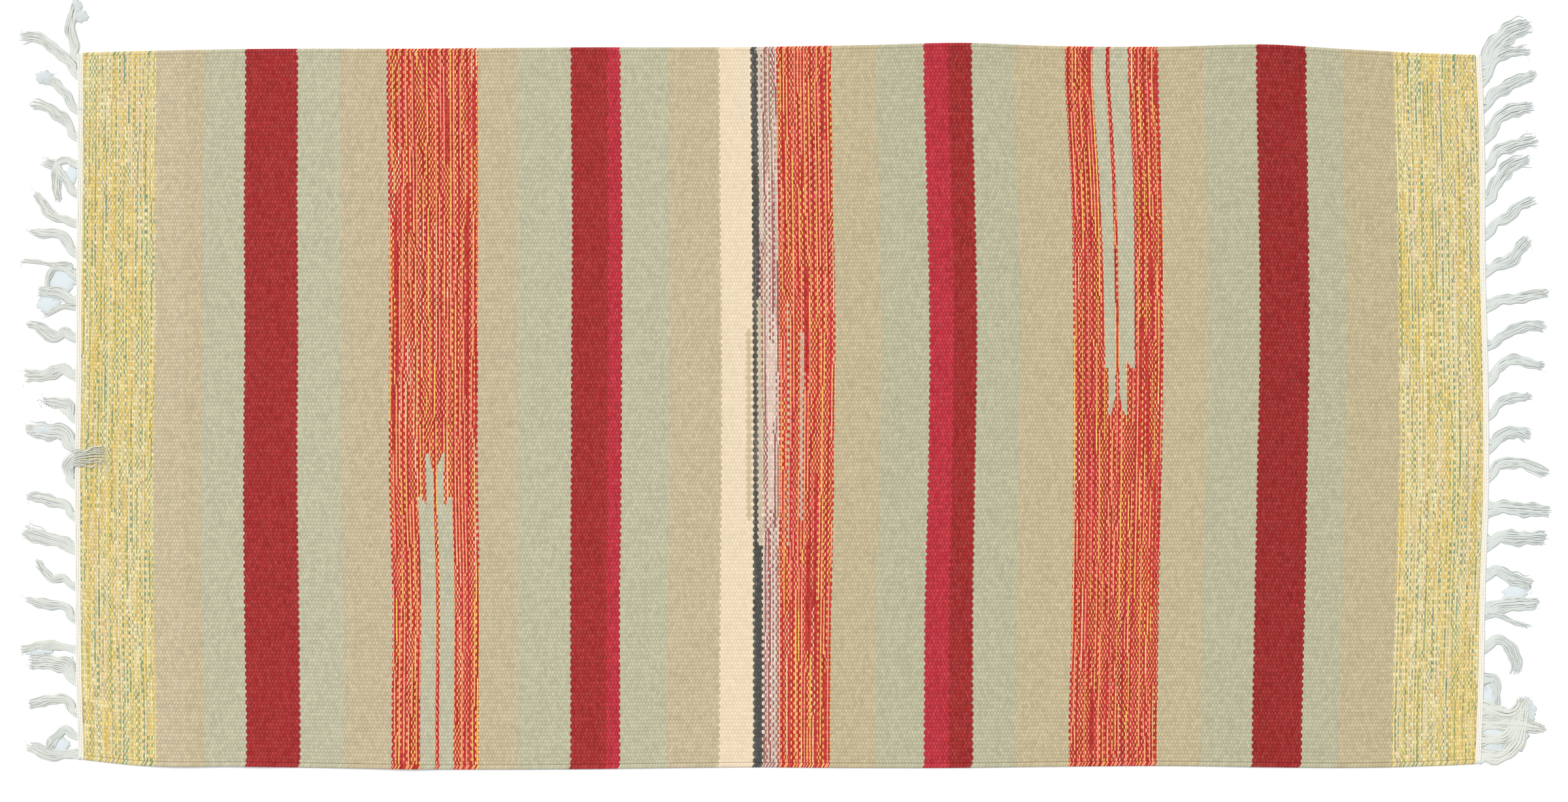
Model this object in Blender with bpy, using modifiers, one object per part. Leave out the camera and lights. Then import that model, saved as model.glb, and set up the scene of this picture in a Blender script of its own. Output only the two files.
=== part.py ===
"""Kilim rug: a flat-woven striped cotton rug that lies on the floor.

The warps run along X and end in a fringe at both ends. The rug lies on z = 0,
with its origin in the middle of its underside. Lengths are in metres, and the
tassel tables are in millimetres.
"""

import bmesh
import bpy
import numpy as np

MM = 0.001

# Driving dimensions
CLOTH_THICKNESS = 2.5 * MM
HEADING_WIDTH = 5.5 * MM
HEADING_THICKNESS = 3.0 * MM
GAP = 0.3 * MM
SPINE_WIDTH = 3.0 * MM
SPINE_THICKNESS = 2.2 * MM
TASSEL_FLATNESS = 0.3
TASSEL_CLEARANCE = 0.1 * MM

# The long edges as the cloth lies: Y of each at places along the rug
LONG_EDGES = {
    "along": (-0.700, -0.640, -0.533, -0.361, -0.211, -0.030, 0.082,
              0.186, 0.264, 0.381, 0.487, 0.556, 0.640, 0.700),
    "near": (-0.3500, -0.3561, -0.3574, -0.3600, -0.3600, -0.3580, -0.3587,
             -0.3585, -0.3575, -0.3567, -0.3580, -0.3586, -0.3570, -0.3545),
    "far": (0.3538, 0.3554, 0.3574, 0.3578, 0.3590, 0.3594, 0.3613,
            0.3634, 0.3606, 0.3597, 0.3618, 0.3578, 0.3534, 0.3515),
}

# The ends as the cloth lies: X of each heading's outer side
ENDS = {
    "across": (-0.356, -0.277, -0.179, -0.082, 0.016, 0.146, 0.276, 0.356),
    "left": (-0.6988, -0.7014, -0.7024, -0.7028, -0.7020, -0.7012, -0.7000, -0.7000),
    "right": (0.6975, 0.7005, 0.7022, 0.7054, 0.7052, 0.7021, 0.7012, 0.6980),
}

# Low waves where a long edge stands a little off the floor
RIPPLES = (
    {"along": -0.595, "edge": "near", "length": 0.035, "height": 2.2 * MM},
    {"along": -0.524, "edge": "near", "length": 0.025, "height": 1.4 * MM},
    {"along": -0.368, "edge": "near", "length": 0.030, "height": 2.0 * MM},
    {"along": 0.186, "edge": "far", "length": 0.045, "height": 1.6 * MM},
    {"along": 0.487, "edge": "far", "length": 0.035, "height": 1.4 * MM},
)
RIPPLE_DEPTH = 0.040

# Rows of every sheet's grid, as shares of the rug's width, closer together at the edges
ROWS = (0, 0.012, 0.026, 0.045, 0.08, 0.13, 0.19, 0.26, 0.34, 0.42, 0.5,
        0.58, 0.66, 0.74, 0.81, 0.87, 0.92, 0.955, 0.974, 0.988, 1)
FIELD_COLUMNS = 44
MEAN_WIDTH = 0.715

# Each tassel in millimetres: its place across the rug, its width, and its route, as
# (out from the heading, up towards the far edge) from its root. A third number is the
# height of its underside.
LEFT_TASSELS = (
    {"place": 348, "width": 9, "route": ((8, 12), (9, 34), (3, 56))},
    {"place": 332, "width": 8, "route": ((14, 14), (27, 28), (57, 33))},
    {"place": 297, "width": 9, "route": ((12, 17), (22, 27), (38, 34))},
    {"place": 270, "width": 9, "route": ((14, 13), (30, 24), (51, 32))},
    {"place": 243, "width": 7, "route": ((11, 4), (20, -8), (16, -38))},
    {"place": 214, "width": 8, "route": ((12, 20), (20, 29), (36, 32))},
    {"place": 184, "width": 7, "route": ((10, 5), (20, 8), (31, 17), (41, 34))},
    {"place": 154, "width": 7, "route": ((8, 12), (18, 19), (47, 22))},
    {"place": 136, "width": 5, "route": ((7, 5), (24, 6), (55, 10))},
    {"place": 106, "width": 13, "route": ((12, 3), (24, 2), (38, 6))},
    {"place": 70, "width": 9, "route": ((12, 4), (20, 1), (32, 9), (50, 13))},
    {"place": 33, "width": 11, "route": ((10, 5), (22, 1), (53, 1))},
    {"place": -11, "width": 9, "route": ((8, 14), (20, 16), (32, 19))},
    {"place": -38, "width": 13, "route": ((10, 10), (26, 14), (51, 15))},
    {"place": -76, "width": 9, "route": ((8, 6), (9, 15, 1.6), (2, 25, 3.6), (-14, 30, 3.4), (-32, 31, 3.4))},
    {"place": -108, "width": 9, "route": ((8, 10), (22, 15), (49, 21))},
    {"place": -140, "width": 12, "route": ((10, 5), (24, 9), (53, 19))},
    {"place": -177, "width": 7, "route": ((12, 8), (24, 7), (31, 14), (39, 27))},
    {"place": -210, "width": 8, "route": ((8, 11), (26, 14), (52, 20))},
    {"place": -240, "width": 8, "route": ((12, 2), (30, 4), (57, -1))},
    {"place": -270, "width": 14, "route": ((9, 12), (24, 16), (49, 17))},
    {"place": -303, "width": 9, "route": ((8, 10), (24, 13), (50, 6))},
    {"place": -327, "width": 8, "route": ((11, 7), (20, 1), (30, -12))},
    {"place": -344, "width": 10, "route": ((12, -1), (28, -1), (52, 9))},
)
RIGHT_TASSELS = (
    {"place": 343, "width": 13, "route": ((12, 17), (28, 31), (50, 38))},
    {"place": 330, "width": 8, "route": ((10, 13), (26, 24), (50, 25))},
    {"place": 302, "width": 11, "route": ((10, 10), (26, 19), (55, 32))},
    {"place": 271, "width": 12, "route": ((10, 13), (26, 25), (51, 30))},
    {"place": 241, "width": 10, "route": ((10, 12), (28, 21), (54, 27))},
    {"place": 208, "width": 12, "route": ((10, 14), (24, 32), (46, 41))},
    {"place": 174, "width": 9, "route": ((10, 10), (24, 17), (34, 27), (52, 34))},
    {"place": 137, "width": 11, "route": ((10, 4), (24, 10), (34, 21), (45, 33))},
    {"place": 102, "width": 10, "route": ((10, 4), (28, 7), (63, 14))},
    {"place": 63, "width": 9, "route": ((12, 7), (28, 15), (42, 20), (61, 15))},
    {"place": 28, "width": 9, "route": ((8, 10), (18, 18), (58, 13))},
    {"place": -7, "width": 8, "route": ((8, 9), (20, 16), (44, 19))},
    {"place": -38, "width": 11, "route": ((10, 8), (26, 15), (42, 8))},
    {"place": -67, "width": 10, "route": ((9, 10), (22, 13), (61, 2))},
    {"place": -100, "width": 13, "route": ((12, 1), (28, 0), (64, -3))},
    {"place": -134, "width": 13, "route": ((12, 5), (28, 5), (61, 5))},
    {"place": -166, "width": 11, "route": ((9, 5), (22, -2), (48, -10))},
    {"place": -201, "width": 14, "route": ((12, 4), (28, 5), (52, 8))},
    {"place": -207, "width": 4, "route": ((12, 1), (26, -5), (46, -11))},
    {"place": -238, "width": 10, "route": ((10, 7), (23, 3), (30, -10), (33, -28))},
    {"place": -270, "width": 8, "route": ((10, 1), (12, -8), (9, -28))},
    {"place": -303, "width": 12, "route": ((12, -2), (26, -2), (36, 16))},
    {"place": -313, "width": 10, "route": ((14, -1), (30, -2), (60, -7))},
    {"place": -341, "width": 12, "route": ((14, -4), (26, 2), (33, 16), (35, 32))},
)

# A tassel starts inside its strip and leaves it square. Its width swells from the root,
# is largest at a share of the way along, and never outgrows a bend.
ROOT_INSET = 1.2
ROOT_END = 3.2
ROOT_SHARE = 0.5
WIDEST_AT = 0.4
TIP_SHARE = 0.75
BEND_SHARE = 0.7
TASSEL_SIDES = 6
TASSEL_SECTIONS = 9

COLORS = {
    "woven_field": (0.50, 0.46, 0.33, 1),
    "heading": (0.80, 0.76, 0.62, 1),
    "fringe": (0.70, 0.72, 0.66, 1),
}


def clear_scene():
    for thing in list(bpy.data.objects):
        bpy.data.objects.remove(thing, do_unlink=True)


def make_collection(name):
    group = bpy.data.collections.new(name)
    bpy.context.scene.collection.children.link(group)
    return group


def cotton(name, color):
    material = bpy.data.materials.new(name)
    material.use_nodes = True
    shader = material.node_tree.nodes["Principled BSDF"]
    shader.inputs["Base Color"].default_value = color
    shader.inputs["Roughness"].default_value = 0.9
    shader.inputs["Metallic"].default_value = 0
    return material


def smooth_curve(places, readings, at):
    """A smooth curve through readings, with the slope at each place set by its neighbours."""
    places = np.array(places, float)
    readings = np.array(readings, float)
    slopes = np.gradient(readings, places)
    at = np.clip(at, places[0], places[-1])
    start = np.clip(np.searchsorted(places, at) - 1, 0, len(places) - 2)
    step = places[start + 1] - places[start]
    t = (at - places[start]) / step
    ease = t * t * (3 - 2 * t)
    return (readings[start] * (1 - ease) + readings[start + 1] * ease
            + step * (slopes[start] * t * (1 - t) ** 2 - slopes[start + 1] * t * t * (1 - t)))


def long_edge(name, x):
    return smooth_curve(LONG_EDGES["along"], LONG_EDGES[name], x)


def end_edge(name, y):
    return smooth_curve(ENDS["across"], ENDS[name], y)


def outward(side):
    return -1 if side == "left" else 1


def end_x(side, share, out):
    """X at one end, out from the heading's outer side, at a share of the width."""
    return end_edge(side, (share - 0.5) * MEAN_WIDTH) + outward(side) * out


def ripple_height(x, near_distance, far_distance):
    height = 0
    for ripple in RIPPLES:
        distance = near_distance if ripple["edge"] == "near" else far_distance
        fade = max(0, 1 - distance / RIPPLE_DEPTH) ** 2
        height += ripple["height"] * fade * np.exp(-((x - ripple["along"]) / ripple["length"]) ** 2)
    return height


def grid_sheet(name, columns, place, thickness, material, group):
    """A grid with ROWS across, whose corners place(u, share) sets, made into a sheet."""
    rows = len(ROWS) - 1
    shape = bmesh.new()
    bmesh.ops.create_grid(shape, x_segments=columns, y_segments=rows, size=1)
    for corner in shape.verts:
        corner.co = place((corner.co.x + 1) / 2, ROWS[round((corner.co.y + 1) / 2 * rows)])
    mesh = bpy.data.meshes.new(name)
    shape.to_mesh(mesh)
    shape.free()
    sheet = bpy.data.objects.new(name, mesh)
    sheet.data.materials.append(material)
    group.objects.link(sheet)
    solidify = sheet.modifiers.new("thickness", "SOLIDIFY")
    solidify.thickness = thickness
    solidify.offset = 1
    solidify.use_even_offset = False
    return sheet


def make_field(group):
    inset = HEADING_WIDTH + GAP

    def place(u, share):
        left = end_x("left", share, -inset)
        right = end_x("right", share, -inset)
        x = left + (right - left) * u
        near = long_edge("near", x)
        far = long_edge("far", x)
        y = near + (far - near) * share
        return x, y, ripple_height(x, y - near, far - y)

    return grid_sheet("woven_field", FIELD_COLUMNS, place, CLOTH_THICKNESS,
                      cotton("field_cotton", COLORS["woven_field"]), group)


def make_end_strip(name, side, inner, outer, thickness, material, group):
    """A strip along one end, from inner to outer, both measured out from the heading's outer side."""
    low, high = sorted((inner, outer), key=lambda out: outward(side) * out)

    def place(u, share):
        x = end_x(side, share, low + (high - low) * u)
        near = long_edge("near", x)
        return x, near + (long_edge("far", x) - near) * share, 0

    return grid_sheet(name, 1, place, thickness, material, group)


def make_profile(group):
    """The cross-section of a tassel, one unit wide each way from its middle, flat underneath."""
    curve = bpy.data.curves.new("tassel_profile", "CURVE")
    curve.dimensions = "2D"
    spline = curve.splines.new("POLY")
    spline.points.add(TASSEL_SIDES - 1)
    for index, point in enumerate(spline.points):
        angle = 2 * np.pi * index / TASSEL_SIDES
        point.co = (np.cos(angle), TASSEL_FLATNESS * np.sin(angle), 0, 1)
    spline.use_cyclic_u = True
    profile = bpy.data.objects.new("tassel_profile", curve)
    profile.hide_render = True
    profile.display_type = "WIRE"
    group.objects.link(profile)
    return profile


def bend_radius(out, up):
    """The radius of the bend at each point of a flat path."""
    steps = np.hypot(np.diff(out), np.diff(up))
    headings = np.unwrap(np.arctan2(np.diff(up), np.diff(out)))
    turns = np.abs(np.diff(headings)) + 1e-6
    radius = np.minimum(steps[:-1], steps[1:]) / turns
    return np.concatenate((radius[:1], radius, radius[-1:]))


def tassel_path(tassel, side):
    """Centre points and half-widths of one tassel, smooth through its route."""
    steps = [(ROOT_INSET, 0, 0), (ROOT_END, 0, 0)]
    steps += [(*step, 0) if len(step) == 2 else step for step in tassel["route"]]
    steps = np.array(steps)
    distances = np.concatenate(([0], np.cumsum(np.linalg.norm(np.diff(steps, axis=0), axis=1))))
    at = np.concatenate(([0], np.linspace(distances[1], distances[-1], TASSEL_SECTIONS)))
    out, up, height = (smooth_curve(distances, steps[:, axis], at) for axis in range(3))
    share = smooth_curve((0, WIDEST_AT, 1), (ROOT_SHARE, 1, TIP_SHARE), at / at[-1])
    half_width = np.minimum(share * tassel["width"] / 2, BEND_SHARE * bend_radius(out, up)) * MM
    across = (tassel["place"] + up) * MM
    edge = end_edge(side, np.full_like(across, tassel["place"] * MM))
    rise = half_width * TASSEL_FLATNESS * np.cos(np.pi / TASSEL_SIDES)
    z = np.maximum(height, 0) * MM + TASSEL_CLEARANCE + rise
    return np.column_stack((edge + outward(side) * out * MM, across, z)), half_width


def make_tassel(name, tassel, side, profile, group):
    points, half_width = tassel_path(tassel, side)
    curve = bpy.data.curves.new(name, "CURVE")
    curve.dimensions = "3D"
    curve.twist_mode = "Z_UP"
    curve.bevel_mode = "OBJECT"
    curve.bevel_object = profile
    curve.use_fill_caps = True
    spline = curve.splines.new("POLY")
    spline.points.add(len(points) - 1)
    for point, center, radius in zip(spline.points, points, half_width):
        point.co = (*center, 1)
        point.radius = radius
    tube = bpy.data.objects.new(name, curve)
    group.objects.link(tube)
    bpy.context.view_layer.update()
    evaluated = tube.evaluated_get(bpy.context.evaluated_depsgraph_get())
    mesh = bpy.data.meshes.new_from_object(evaluated)
    matrix = tube.matrix_world.copy()
    bpy.data.objects.remove(tube, do_unlink=True)

    shape = bmesh.new()
    shape.from_mesh(mesh)
    bmesh.ops.remove_doubles(shape, verts=shape.verts, dist=1e-6)
    bmesh.ops.recalc_face_normals(shape, faces=shape.faces)
    shape.to_mesh(mesh)
    shape.free()
    solid = bpy.data.objects.new(name, mesh)
    solid.matrix_world = matrix
    solid.hide_render = True
    solid.display_type = "WIRE"
    group.objects.link(solid)
    return solid


def make_fringe(side, tassels, profile, group, cutters):
    """One comb: a thin strip along the heading, and every tassel joined to it."""
    comb = make_end_strip(f"fringe_{side}", side, GAP, GAP + SPINE_WIDTH, SPINE_THICKNESS,
                          cotton(f"fringe_{side}_cotton", COLORS["fringe"]), group)
    for index, tassel in enumerate(tassels):
        solid = make_tassel(f"tassel_{side}_{index + 1:02d}", tassel, side, profile, cutters)
        joining = comb.modifiers.new(solid.name, "BOOLEAN")
        joining.operation = "UNION"
        joining.solver = "EXACT"
        joining.object = solid


def main():
    clear_scene()
    group = make_collection("kilim_rug")
    cutters = make_collection("tassel_shapes")
    make_field(group)
    profile = make_profile(cutters)
    for side, tassels in (("left", LEFT_TASSELS), ("right", RIGHT_TASSELS)):
        make_end_strip(f"heading_{side}", side, -HEADING_WIDTH, 0, HEADING_THICKNESS,
                       cotton(f"heading_{side}_cotton", COLORS["heading"]), group)
        make_fringe(side, tassels, profile, group, cutters)


main()
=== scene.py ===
from functools import partialmethod

import bpy
import numpy as np
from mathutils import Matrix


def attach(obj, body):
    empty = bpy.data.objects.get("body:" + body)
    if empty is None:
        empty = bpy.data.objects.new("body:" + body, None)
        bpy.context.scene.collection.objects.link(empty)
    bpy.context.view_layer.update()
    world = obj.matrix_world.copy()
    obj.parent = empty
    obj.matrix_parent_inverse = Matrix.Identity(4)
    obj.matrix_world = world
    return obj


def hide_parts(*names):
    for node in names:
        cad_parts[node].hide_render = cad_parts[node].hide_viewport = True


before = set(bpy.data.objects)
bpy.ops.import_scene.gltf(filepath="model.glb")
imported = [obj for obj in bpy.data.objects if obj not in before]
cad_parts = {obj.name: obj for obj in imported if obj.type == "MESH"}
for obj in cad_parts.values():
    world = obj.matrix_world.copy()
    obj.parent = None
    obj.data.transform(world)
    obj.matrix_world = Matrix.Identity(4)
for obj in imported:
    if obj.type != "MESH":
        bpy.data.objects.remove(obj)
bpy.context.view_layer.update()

mm = 0.001
dice = np.random.default_rng(21)

# The rug as it lies: Y of the two long edges, and X of the outer side of each end cord
outline = {
    "along": (-0.700, -0.640, -0.533, -0.361, -0.211, -0.030, 0.082,
              0.186, 0.264, 0.381, 0.487, 0.556, 0.640, 0.700),
    "near": (-0.3500, -0.3561, -0.3574, -0.3600, -0.3600, -0.3580, -0.3587,
             -0.3585, -0.3575, -0.3567, -0.3580, -0.3586, -0.3570, -0.3545),
    "far": (0.3538, 0.3554, 0.3574, 0.3578, 0.3590, 0.3594, 0.3613,
            0.3634, 0.3606, 0.3597, 0.3618, 0.3578, 0.3534, 0.3515),
    "across": (-0.356, -0.277, -0.179, -0.082, 0.016, 0.146, 0.276, 0.356),
    "left": (-0.6988, -0.7014, -0.7024, -0.7028, -0.7020, -0.7012, -0.7000, -0.7000),
    "right": (0.6975, 0.7005, 0.7022, 0.7054, 0.7052, 0.7021, 0.7012, 0.6980),
    "meanWidth": 0.715,
    "halfWidth": 0.36,
    "fieldLength": 1.39,
}

# How far the wefts bow along the rug, in millimetres: a row for each place along it,
# a column for each place across it
bow = {
    "across": (-0.313, -0.196, -0.066, 0.078, 0.208, 0.325),
    "along": (-0.70, -0.50, -0.39, -0.30, -0.18, -0.06, -0.02, 0.054, 0.15, 0.20, 0.295, 0.38, 0.50, 0.70),
    "shift": (
        (1.4, -1.1, -1.1, 1.1, 1.8, 2.7),
        (2.3, 0.6, -0.7, 0.3, -0.3, 0.7),
        (2.6, 3.3, 0.0, 0.0, -0.7, -2.6),
        (2.0, 2.6, 0.6, 0.9, 1.3, 1.3),
        (-1.3, -1.6, -0.3, 0.3, 0.7, -1.0),
        (-2.0, -1.3, 0.0, 0.0, -1.3, -2.0),
        (0.6, 0.3, 0.3, -0.3, -1.0, -2.5),
        (-4.6, -3.3, -0.7, 0.7, -1.3, -2.9),
        (-4.6, -3.9, -0.7, 0.7, -2.0, -5.2),
        (-2.9, -2.9, -1.0, 1.0, -1.0, -4.2),
        (-4.6, -1.3, 0.0, 0.0, -2.0, -8.5),
        (-5.5, -4.2, -1.0, 1.0, -0.3, -4.2),
        (-6.5, -3.6, -1.3, 1.3, 0.0, -2.0),
        (-7.8, -3.9, 1.3, -2.0, -4.6, -8.8),
    ),
}

cloth = {
    "thickness": 2.5 * mm,
    "warps": 197,
    "rowsPerWarp": 4,
    "columns": 58,
    "narrowColumn": 0.0003,  # width of the first and the last one, which keeps the shading there even
    "ribDepth": 0.16 * mm,
    "swell": 0.5 * mm,
    "flatFrom": 0.69,  # X from which the swell is gone, and how gently it goes
    "flatReach": 0.05,
    "stitch": 3.14,  # mm along the rug from one stitch to the next on the same warp
    "endGap": 0.3 * mm,
    "ripples": (
        {"along": -0.595, "edge": "near", "length": 0.035, "height": 2.2 * mm},
        {"along": -0.524, "edge": "near", "length": 0.025, "height": 1.4 * mm},
        {"along": -0.368, "edge": "near", "length": 0.030, "height": 2.0 * mm},
        {"along": 0.186, "edge": "far", "length": 0.045, "height": 1.6 * mm},
        {"along": 0.487, "edge": "far", "length": 0.035, "height": 1.4 * mm},
    ),
    "rippleDepth": 0.040,
}


def smoothCurve(places, readings, at):
    places = np.array(places, float)
    readings = np.array(readings, float)
    slopes = np.gradient(readings, places, axis=0)
    at = np.clip(at, places[0], places[-1])
    start = np.clip(np.searchsorted(places, at) - 1, 0, len(places) - 2)
    step = places[start + 1] - places[start]
    t = (at - places[start]) / step
    here = start if readings.ndim == 1 else (start, np.arange(len(at)))
    after = start + 1 if readings.ndim == 1 else (start + 1, np.arange(len(at)))
    ease = t * t * (3 - 2 * t)
    return (readings[here] * (1 - ease) + readings[after] * ease
            + step * (slopes[here] * t * (1 - t) ** 2 - slopes[after] * t * t * (1 - t)))


def longEdge(name, x):
    return smoothCurve(outline["along"], outline[name], x)


def endEdge(side, y):
    return smoothCurve(outline["across"], outline[side], y)


def outward(side):
    return -1 if side == "left" else 1


def straighten(x, y):
    # X as the wefts count it, with their bow taken out
    flatX, flatY = np.ravel(x), np.ravel(y)
    columns = np.array(bow["shift"]).T
    readings = [smoothCurve(bow["along"], column, flatX) for column in columns]
    return x - smoothCurve(bow["across"], readings, flatY).reshape(np.shape(x)) * mm


def rippleHeight(x, nearDistance, farDistance):
    height = 0
    for ripple in cloth["ripples"]:
        distance = nearDistance if ripple["edge"] == "near" else farDistance
        fade = np.maximum(0, 1 - distance / cloth["rippleDepth"]) ** 2
        height = height + ripple["height"] * fade * np.exp(-((x - ripple["along"]) / ripple["length"]) ** 2)
    return height


# slow waves over the whole cloth: along, across, phase and height
swellWaves = [(dice.normal(0, 26), dice.normal(0, 30), dice.uniform(0, 6.28), dice.uniform(0.1, 0.3))
              for _ in range(9)]


def swellHeight(x, y):
    # shallow unevenness of the cloth, which dies out at the end cords
    waves = 0
    for along, across, phase, height in swellWaves:
        waves = waves + np.sin(x * along + y * across + phase) * height
    fade = np.clip((cloth["flatFrom"] - np.abs(x)) / cloth["flatReach"], 0, 1)
    return cloth["swell"] * np.clip(0.5 + waves, 0, 1) * fade


def makeMesh(name, points, faces, attributes):
    mesh = bpy.data.meshes.new(name)
    mesh.from_pydata(points.tolist(), [], faces)
    for label, values in attributes.items():
        kind, field = ("FLOAT_VECTOR", "vector") if values.ndim == 2 else ("FLOAT", "value")
        mesh.attributes.new(label, kind, "POINT").data.foreach_set(field, values.astype(np.float32).ravel())
    mesh.shade_smooth()
    piece = bpy.data.objects.new(name, mesh)
    bpy.context.scene.collection.objects.link(piece)
    return piece


def ringFaces(rings, sides, first):
    # quads between neighbouring rings, whose points run counter-clockwise seen from the start
    ring = np.arange(rings - 1)[:, None] * sides + first
    side = np.arange(sides)
    nextSide = (side + 1) % sides
    corners = (ring + side, ring + sides + side, ring + sides + nextSide, ring + nextSide)
    return np.stack(corners, axis=-1).reshape(-1, 4)


class Tubes:
    # gathers many thin tubes into one mesh, each closed at both ends
    def __init__(self, sides):
        self.sides = sides
        self.points = []
        self.fiber = []
        self.tint = []
        self.faces = []
        self.count = 0

    def add(self, path, radius, tint, flat=1.0):
        path = np.asarray(path)
        tangent = np.gradient(path, axis=0)
        tangent /= np.linalg.norm(tangent, axis=1, keepdims=True) + 1e-12
        across = np.cross(tangent, (0.0, 0.0, 1.0))
        across /= np.linalg.norm(across, axis=1, keepdims=True) + 1e-12
        up = np.cross(across, tangent)
        turn = np.linspace(0, 2 * np.pi, self.sides, endpoint=False)
        radius = np.broadcast_to(radius, len(path))[:, None, None]
        ring = across[:, None] * np.cos(turn)[:, None] + up[:, None] * np.sin(turn)[:, None] * flat
        length = np.concatenate(([0], np.cumsum(np.linalg.norm(np.diff(path, axis=0), axis=1)))) / mm
        fiber = np.stack(np.broadcast_arrays(length[:, None], np.cos(turn), np.sin(turn)), axis=-1)
        self.addRings(path[:, None] + ring * radius, fiber, tint)

    def addRings(self, rings, fiber, tint):
        count, sides = rings.shape[:2]
        self.points.append(rings.reshape(-1, 3))
        self.fiber.append(fiber.reshape(-1, 3))
        self.tint.append(np.full(count * sides, tint))
        self.faces.extend(ringFaces(count, sides, self.count).tolist())
        last = self.count + (count - 1) * sides
        self.faces.append([self.count + i for i in range(sides)])
        self.faces.append([last + i for i in reversed(range(sides))])
        self.count += count * sides

    def finish(self, name):
        return makeMesh(name, np.concatenate(self.points), self.faces,
                        {"fiber": np.concatenate(self.fiber), "tint": np.concatenate(self.tint)})


selvedge = {
    "near": {"width": 5.4 * mm, "slant": 1.5, "warp": -1.5},
    "far": {"width": 4.4 * mm, "slant": -1.3, "warp": 198.5},
    "thickness": 2.7 * mm,
    "ridge": 0.22,
    "sides": 12,
    "ringsPerStitch": 5,
    "overlap": 0.5 * mm,
}
heading = {
    "width": 5.5 * mm,
    "thickness": 3.0 * mm,
    "cords": 3,
    "strandRadius": 0.68 * mm,
    "twistRadius": 0.32 * mm,
    "coreRadius": 1.22 * mm,
    "strandFlatness": 1.35,
    "coreHeight": 0.44,  # of its middle, as a share of the thickness
    "twist": 7.2 * mm,
    "step": 0.9 * mm,
    "margin": 0.1 * mm,
    "spread": 0.15 * mm,  # each cord lies this much further in than its share of the width
    "endInset": 0.8 * mm,
    "sway": 0.12 * mm,
    "swayPace": 160,  # radians a metre, like the lumps' pace
    "lumps": 0.06,
    "lumpPace": 900,
}


def fieldEnd(side, share):
    inset = heading["width"] + cloth["endGap"]
    return endEdge(side, (share - 0.5) * outline["meanWidth"]) - outward(side) * inset


def makeCloth():
    rows = cloth["warps"] * cloth["rowsPerWarp"]
    columns = np.linspace(0, 1, cloth["columns"] + 1)
    narrow = cloth["narrowColumn"]
    columns = np.sort(np.concatenate((columns, (narrow, 1 - narrow))))
    u, share = np.meshgrid(columns, np.linspace(0, 1, rows + 1))
    left, right = fieldEnd("left", share), fieldEnd("right", share)
    x = left + (right - left) * u
    near = longEdge("near", x) + selvedge["near"]["width"] - selvedge["overlap"]
    far = longEdge("far", x) - selvedge["far"]["width"] + selvedge["overlap"]
    y = near + (far - near) * share
    warp = share * cloth["warps"]
    valley = cloth["ribDepth"] * (1 - np.abs(np.sin(np.pi * warp)) ** 0.8)
    lift = rippleHeight(x, y - near, far - y) + swellHeight(x, y)
    top = np.stack((x, y, lift + cloth["thickness"] - valley), axis=-1).reshape(-1, 3)
    bottom = np.stack((x, y, lift + valley), axis=-1).reshape(-1, 3)
    along = straighten(x, y) / mm
    weave = [np.stack((along, warp + side, 0 * x), axis=-1).reshape(-1, 3) for side in (0, 1)]

    index = np.arange(x.size).reshape(x.shape)
    under = index + x.size
    quads = [
        (index[:-1, :-1], index[:-1, 1:], index[1:, 1:], index[1:, :-1]),
        (under[:-1, :-1], under[1:, :-1], under[1:, 1:], under[:-1, 1:]),
        (under[0, :-1], under[0, 1:], index[0, 1:], index[0, :-1]),
        (index[-1, :-1], index[-1, 1:], under[-1, 1:], under[-1, :-1]),
        (under[1:, 0], under[:-1, 0], index[:-1, 0], index[1:, 0]),
        (index[1:, -1], index[:-1, -1], under[:-1, -1], under[1:, -1]),
    ]
    faces = np.concatenate([np.stack(quad, axis=-1).reshape(-1, 4) for quad in quads]).tolist()
    return makeMesh("wovenCloth", np.concatenate((top, bottom)), faces, {"weave": np.concatenate(weave)})


def makeSelvedges():
    # the outer warps of each long edge, wrapped by the wefts that turn round them
    points, faces, weave = [], [], []
    first = 0
    sides = selvedge["sides"]
    turn = np.linspace(0, 2 * np.pi, sides, endpoint=False)
    rings = int(outline["fieldLength"] / (cloth["stitch"] * mm) * selvedge["ringsPerStitch"])
    for edge in ("near", "far"):
        facts = selvedge[edge]
        share = 0.0 if edge == "near" else 1.0
        x = np.linspace(fieldEnd("left", share), fieldEnd("right", share), rings)
        inward = 1 if edge == "near" else -1
        middle = longEdge(edge, x) + inward * facts["width"] / 2
        lift = rippleHeight(x, 0 * x, 0 * x + 1) if edge == "near" else rippleHeight(x, 0 * x + 1, 0 * x)
        lift = lift + swellHeight(x, middle)
        along = straighten(x, middle) / mm
        wrap = along[:, None] + facts["slant"] * np.cos(turn) * inward
        ridge = np.abs(np.sin(np.pi * wrap / cloth["stitch"])) ** 0.7
        size = 1 - selvedge["ridge"] * (1 - ridge)
        ringY = middle[:, None] - np.cos(turn) * size * facts["width"] / 2
        ringZ = lift[:, None] + (1 + np.sin(turn) * size) * selvedge["thickness"] / 2
        ringX = np.broadcast_to(x[:, None], ringY.shape)
        points.append(np.stack((ringX, ringY, ringZ), axis=-1).reshape(-1, 3))
        weave.append(np.stack((wrap, 0 * wrap + facts["warp"], 0 * wrap + 1), axis=-1).reshape(-1, 3))
        faces.extend(ringFaces(rings, sides, first)[:, ::-1].tolist())
        faces.append([first + i for i in reversed(range(sides))])
        faces.append([first + (rings - 1) * sides + i for i in range(sides)])
        first += rings * sides
    return makeMesh("selvedges", np.concatenate(points), faces, {"weave": np.concatenate(weave)})


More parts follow.
